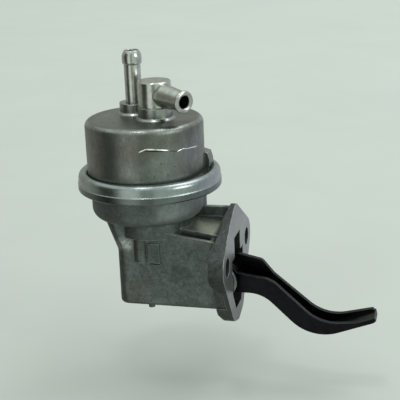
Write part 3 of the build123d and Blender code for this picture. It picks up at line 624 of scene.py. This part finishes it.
# Freshly torn aluminium is almost white. The gouges' shade is painted as near-black metal.
fresh_metal = smooth_metal("fresh_aluminium", "#dde2e1", "#f2f5f4", 0.2)
gouge_shade = smooth_metal("shaded_aluminium", "#1c1e1d", "#2a2d2b", 0.5)
scratches = [(-79.5, -72.5, 55.4, 56.7, 0.8, fresh_metal),
             (-73.5, -63.5, 56.8, 56.4, 0.9, fresh_metal),
             (-64.5, -50.0, 56.4, 55.3, 0.8, fresh_metal),
             (-74.0, -55.0, 56.0, 55.1, 0.5, gouge_shade),
             (-50.5, -41.5, 55.0, 54.2, 0.35, gouge_shade),
             (-42.0, -35.0, 54.1, 54.8, 0.6, fresh_metal),
             (-36.0, -27.5, 54.8, 54.2, 0.75, fresh_metal),
             (-28.5, -13.5, 54.3, 53.8, 0.8, fresh_metal)]
for number, (start, end, low, high, width, surface) in enumerate(scratches, 1):
    burr(f"scratch_{number}", start, end, low, high, width, surface)
print("scratches:", len(scratches))

# %% [markdown]
# ## Floor
# A pale sheet lies a little below the pump, which hangs free as if held by its flange. A studio
# would bend the sheet up behind the thing. A flat one does here, because it reaches past what the
# camera sees. Its colour is painted paler with distance, a painted shade that is darkest near the
# camera. It is hidden from reflections, so that the metal shows the room all round.

# %% Floor
FLOOR_REACH = 12.0                     # from its middle to each side
FLOOR_SHIFT = 1.5                      # away from the camera
FLOOR_GAP = 30 * MM                    # below the pump
PALEST = 1.6                           # distance behind the pump
DRIFT = 120.0                          # width in mm of the tint's blotches
TINTS = ((0.1, "#c3c9c3"), (0.85, "#d9dfd9"))


def pale_paper():
    """Matt white paper with a slight tint that drifts over a hand's width, and painted shade that
    is darkest near the camera.
    """
    material, tree, place = new_material("pale_paper")
    # painted shade: the tint is darker near the camera and paler far behind the pump
    away = add(tree, "SeparateXYZ", {0: place})["Y"]
    distance = add(tree, "MapRange", {"Value": away, "From Min": 0.0, "From Max": PALEST})[0]
    drift = add(tree, "TexNoise", {"Vector": place, "Scale": 1.0 / (DRIFT * MM),
                                   "Detail": 3.0, "Roughness": FINER})[0]
    uneven = 0.0
    for value, weight in ((distance, 0.7), (drift, 0.3)):
        uneven = add(tree, "Math", {0: value, 1: weight, 2: uneven}, operation="MULTIPLY_ADD")[0]
    tint = add(tree, "ValToRGB", {"Fac": uneven}, stops=TINTS)[0]
    paper = add(tree, "BsdfPrincipled", {"Base Color": tint, "Roughness": 0.8,
                                         "Specular IOR Level": 0.2})
    add(tree, "OutputMaterial", {"Surface": paper[0]})
    return material


sheet = bmesh.new()
bmesh.ops.create_grid(sheet, x_segments=1, y_segments=1, size=FLOOR_REACH)
bmesh.ops.translate(sheet, verts=sheet.verts, vec=(0, FLOOR_SHIFT, cad_box[0][2] - FLOOR_GAP))
floor_mesh = bpy.data.meshes.new("floor")
sheet.to_mesh(floor_mesh)
sheet.free()
floor_mesh.materials.append(pale_paper())
floor = bpy.data.objects.new("floor", floor_mesh)
bpy.context.scene.collection.objects.link(floor)
floor.visible_glossy = False
print("floor height in mm:", round(floor_mesh.vertices[0].co.z / MM, 1))

# %% [markdown]
# ## Lamps
# Most of the light comes from the room. One lamp would leave hard shadows, so three soft ones add
# to it: a large window high up, to the right and behind, a smaller one at the right, and a small
# one overhead, a little in front.


# %% Lamps
def soft_window(name, place, size, watts, tint):
    """Square area lamp that faces the pump, with its place and size in metres."""
    data = bpy.data.lights.new(name, "AREA")
    data.shape = "SQUARE"
    data.size = size
    data.energy = watts
    data.color = linear(tint)[:3]
    lamp = bpy.data.objects.new(name, data)
    lamp.location = place
    lamp.rotation_euler = (AIM - lamp.location).to_track_quat("-Z", "Y").to_euler()
    bpy.context.scene.collection.objects.link(lamp)
    print(name, "gives", watts, "W")


soft_window("window_above", Vector((0.9, 0.5, 2.1)), 1.2, 11.0, "#fbfdff")
soft_window("window_right", Vector((1.6, -0.6, 0.7)), 0.8, 8.0, "#ffffff")
soft_window("strip_overhead", Vector((-0.2, -0.5, 2.2)), 0.3, 4.0, "#ffffff")

# %% [markdown]
# ## Room
# Metal looks like what it mirrors. A room could be built of walls, but only its tones matter, so
# it is a ring of tones with a bright ceiling over it. Headings are counted in degrees from the
# camera's, more to the right in the picture. There is a bright window on the left, dark furniture
# beside it, and pale walls on the right and behind the pump.
# Where a camera sees the room itself, over the sheet's far end, it shows one plain tone.

# %% Room
ROOM_TONES = ((-180, "#a3a69d"), (-100, "#97988e"), (-84, "#4b4e49"), (-54, "#42453f"),
              (-42, "#e6eae4"), (-20, "#e6eae4"), (-12, "#8d968b"), (4, "#8d968b"),
              (10, "#c9d3c8"), (48, "#bfcabf"), (70, "#a9b0aa"), (90, "#b3b6bd"),
              (150, "#bcc0c1"), (180, "#a3a69d"))
CEILING, BACKDROP = "#dfe6e2", "#b2bbb1"
WALL_TOP, WALL_FADE = 0.5, 0.25        # upward part of a direction that is one long
ROOM_STRENGTH = 1.2


def room(name):
    """World light with the ring of tones, the ceiling and the plain backdrop."""
    world = bpy.data.worlds.new(name)
    world.use_nodes = True
    tree = world.node_tree
    tree.nodes.clear()
    way = add(tree, "SeparateXYZ", {0: add(tree, "TexCoord", {})["Generated"]})
    heading = add(tree, "Math", {0: way["Y"], 1: way["X"]}, operation="ARCTAN2")[0]
    turned = add(tree, "Math", {0: heading, 1: math.pi / 2 - AZIMUTH + math.pi},
                 operation="ADD")[0]
    turns = add(tree, "Math", {0: turned, 1: 2 * math.pi}, operation="DIVIDE")[0]
    share = add(tree, "Math", {0: turns}, operation="FRACT")[0]
    ring = add(tree, "ValToRGB", {"Fac": share},
               stops=[(degrees / 360 + 0.5, tone) for degrees, tone in ROOM_TONES])[0]
    overhead = add(tree, "MapRange", {"Value": way["Z"], "From Min": WALL_TOP,
                                      "From Max": WALL_TOP + WALL_FADE})[0]
    seen = add(tree, "Mix", {0: overhead, 6: ring, 7: linear(CEILING)}, data_type="RGBA")[2]
    direct = add(tree, "LightPath", {})["Is Camera Ray"]
    seen = add(tree, "Mix", {0: direct, 6: seen, 7: linear(BACKDROP)}, data_type="RGBA")[2]
    light = add(tree, "Background", {"Color": seen, "Strength": ROOM_STRENGTH})
    add(tree, "OutputWorld", {"Surface": light[0]})
    return world


bpy.context.scene.world = room("room")
bpy.context.scene.view_settings.view_transform = "Standard"
print("tones round the room:", len(ROOM_TONES))
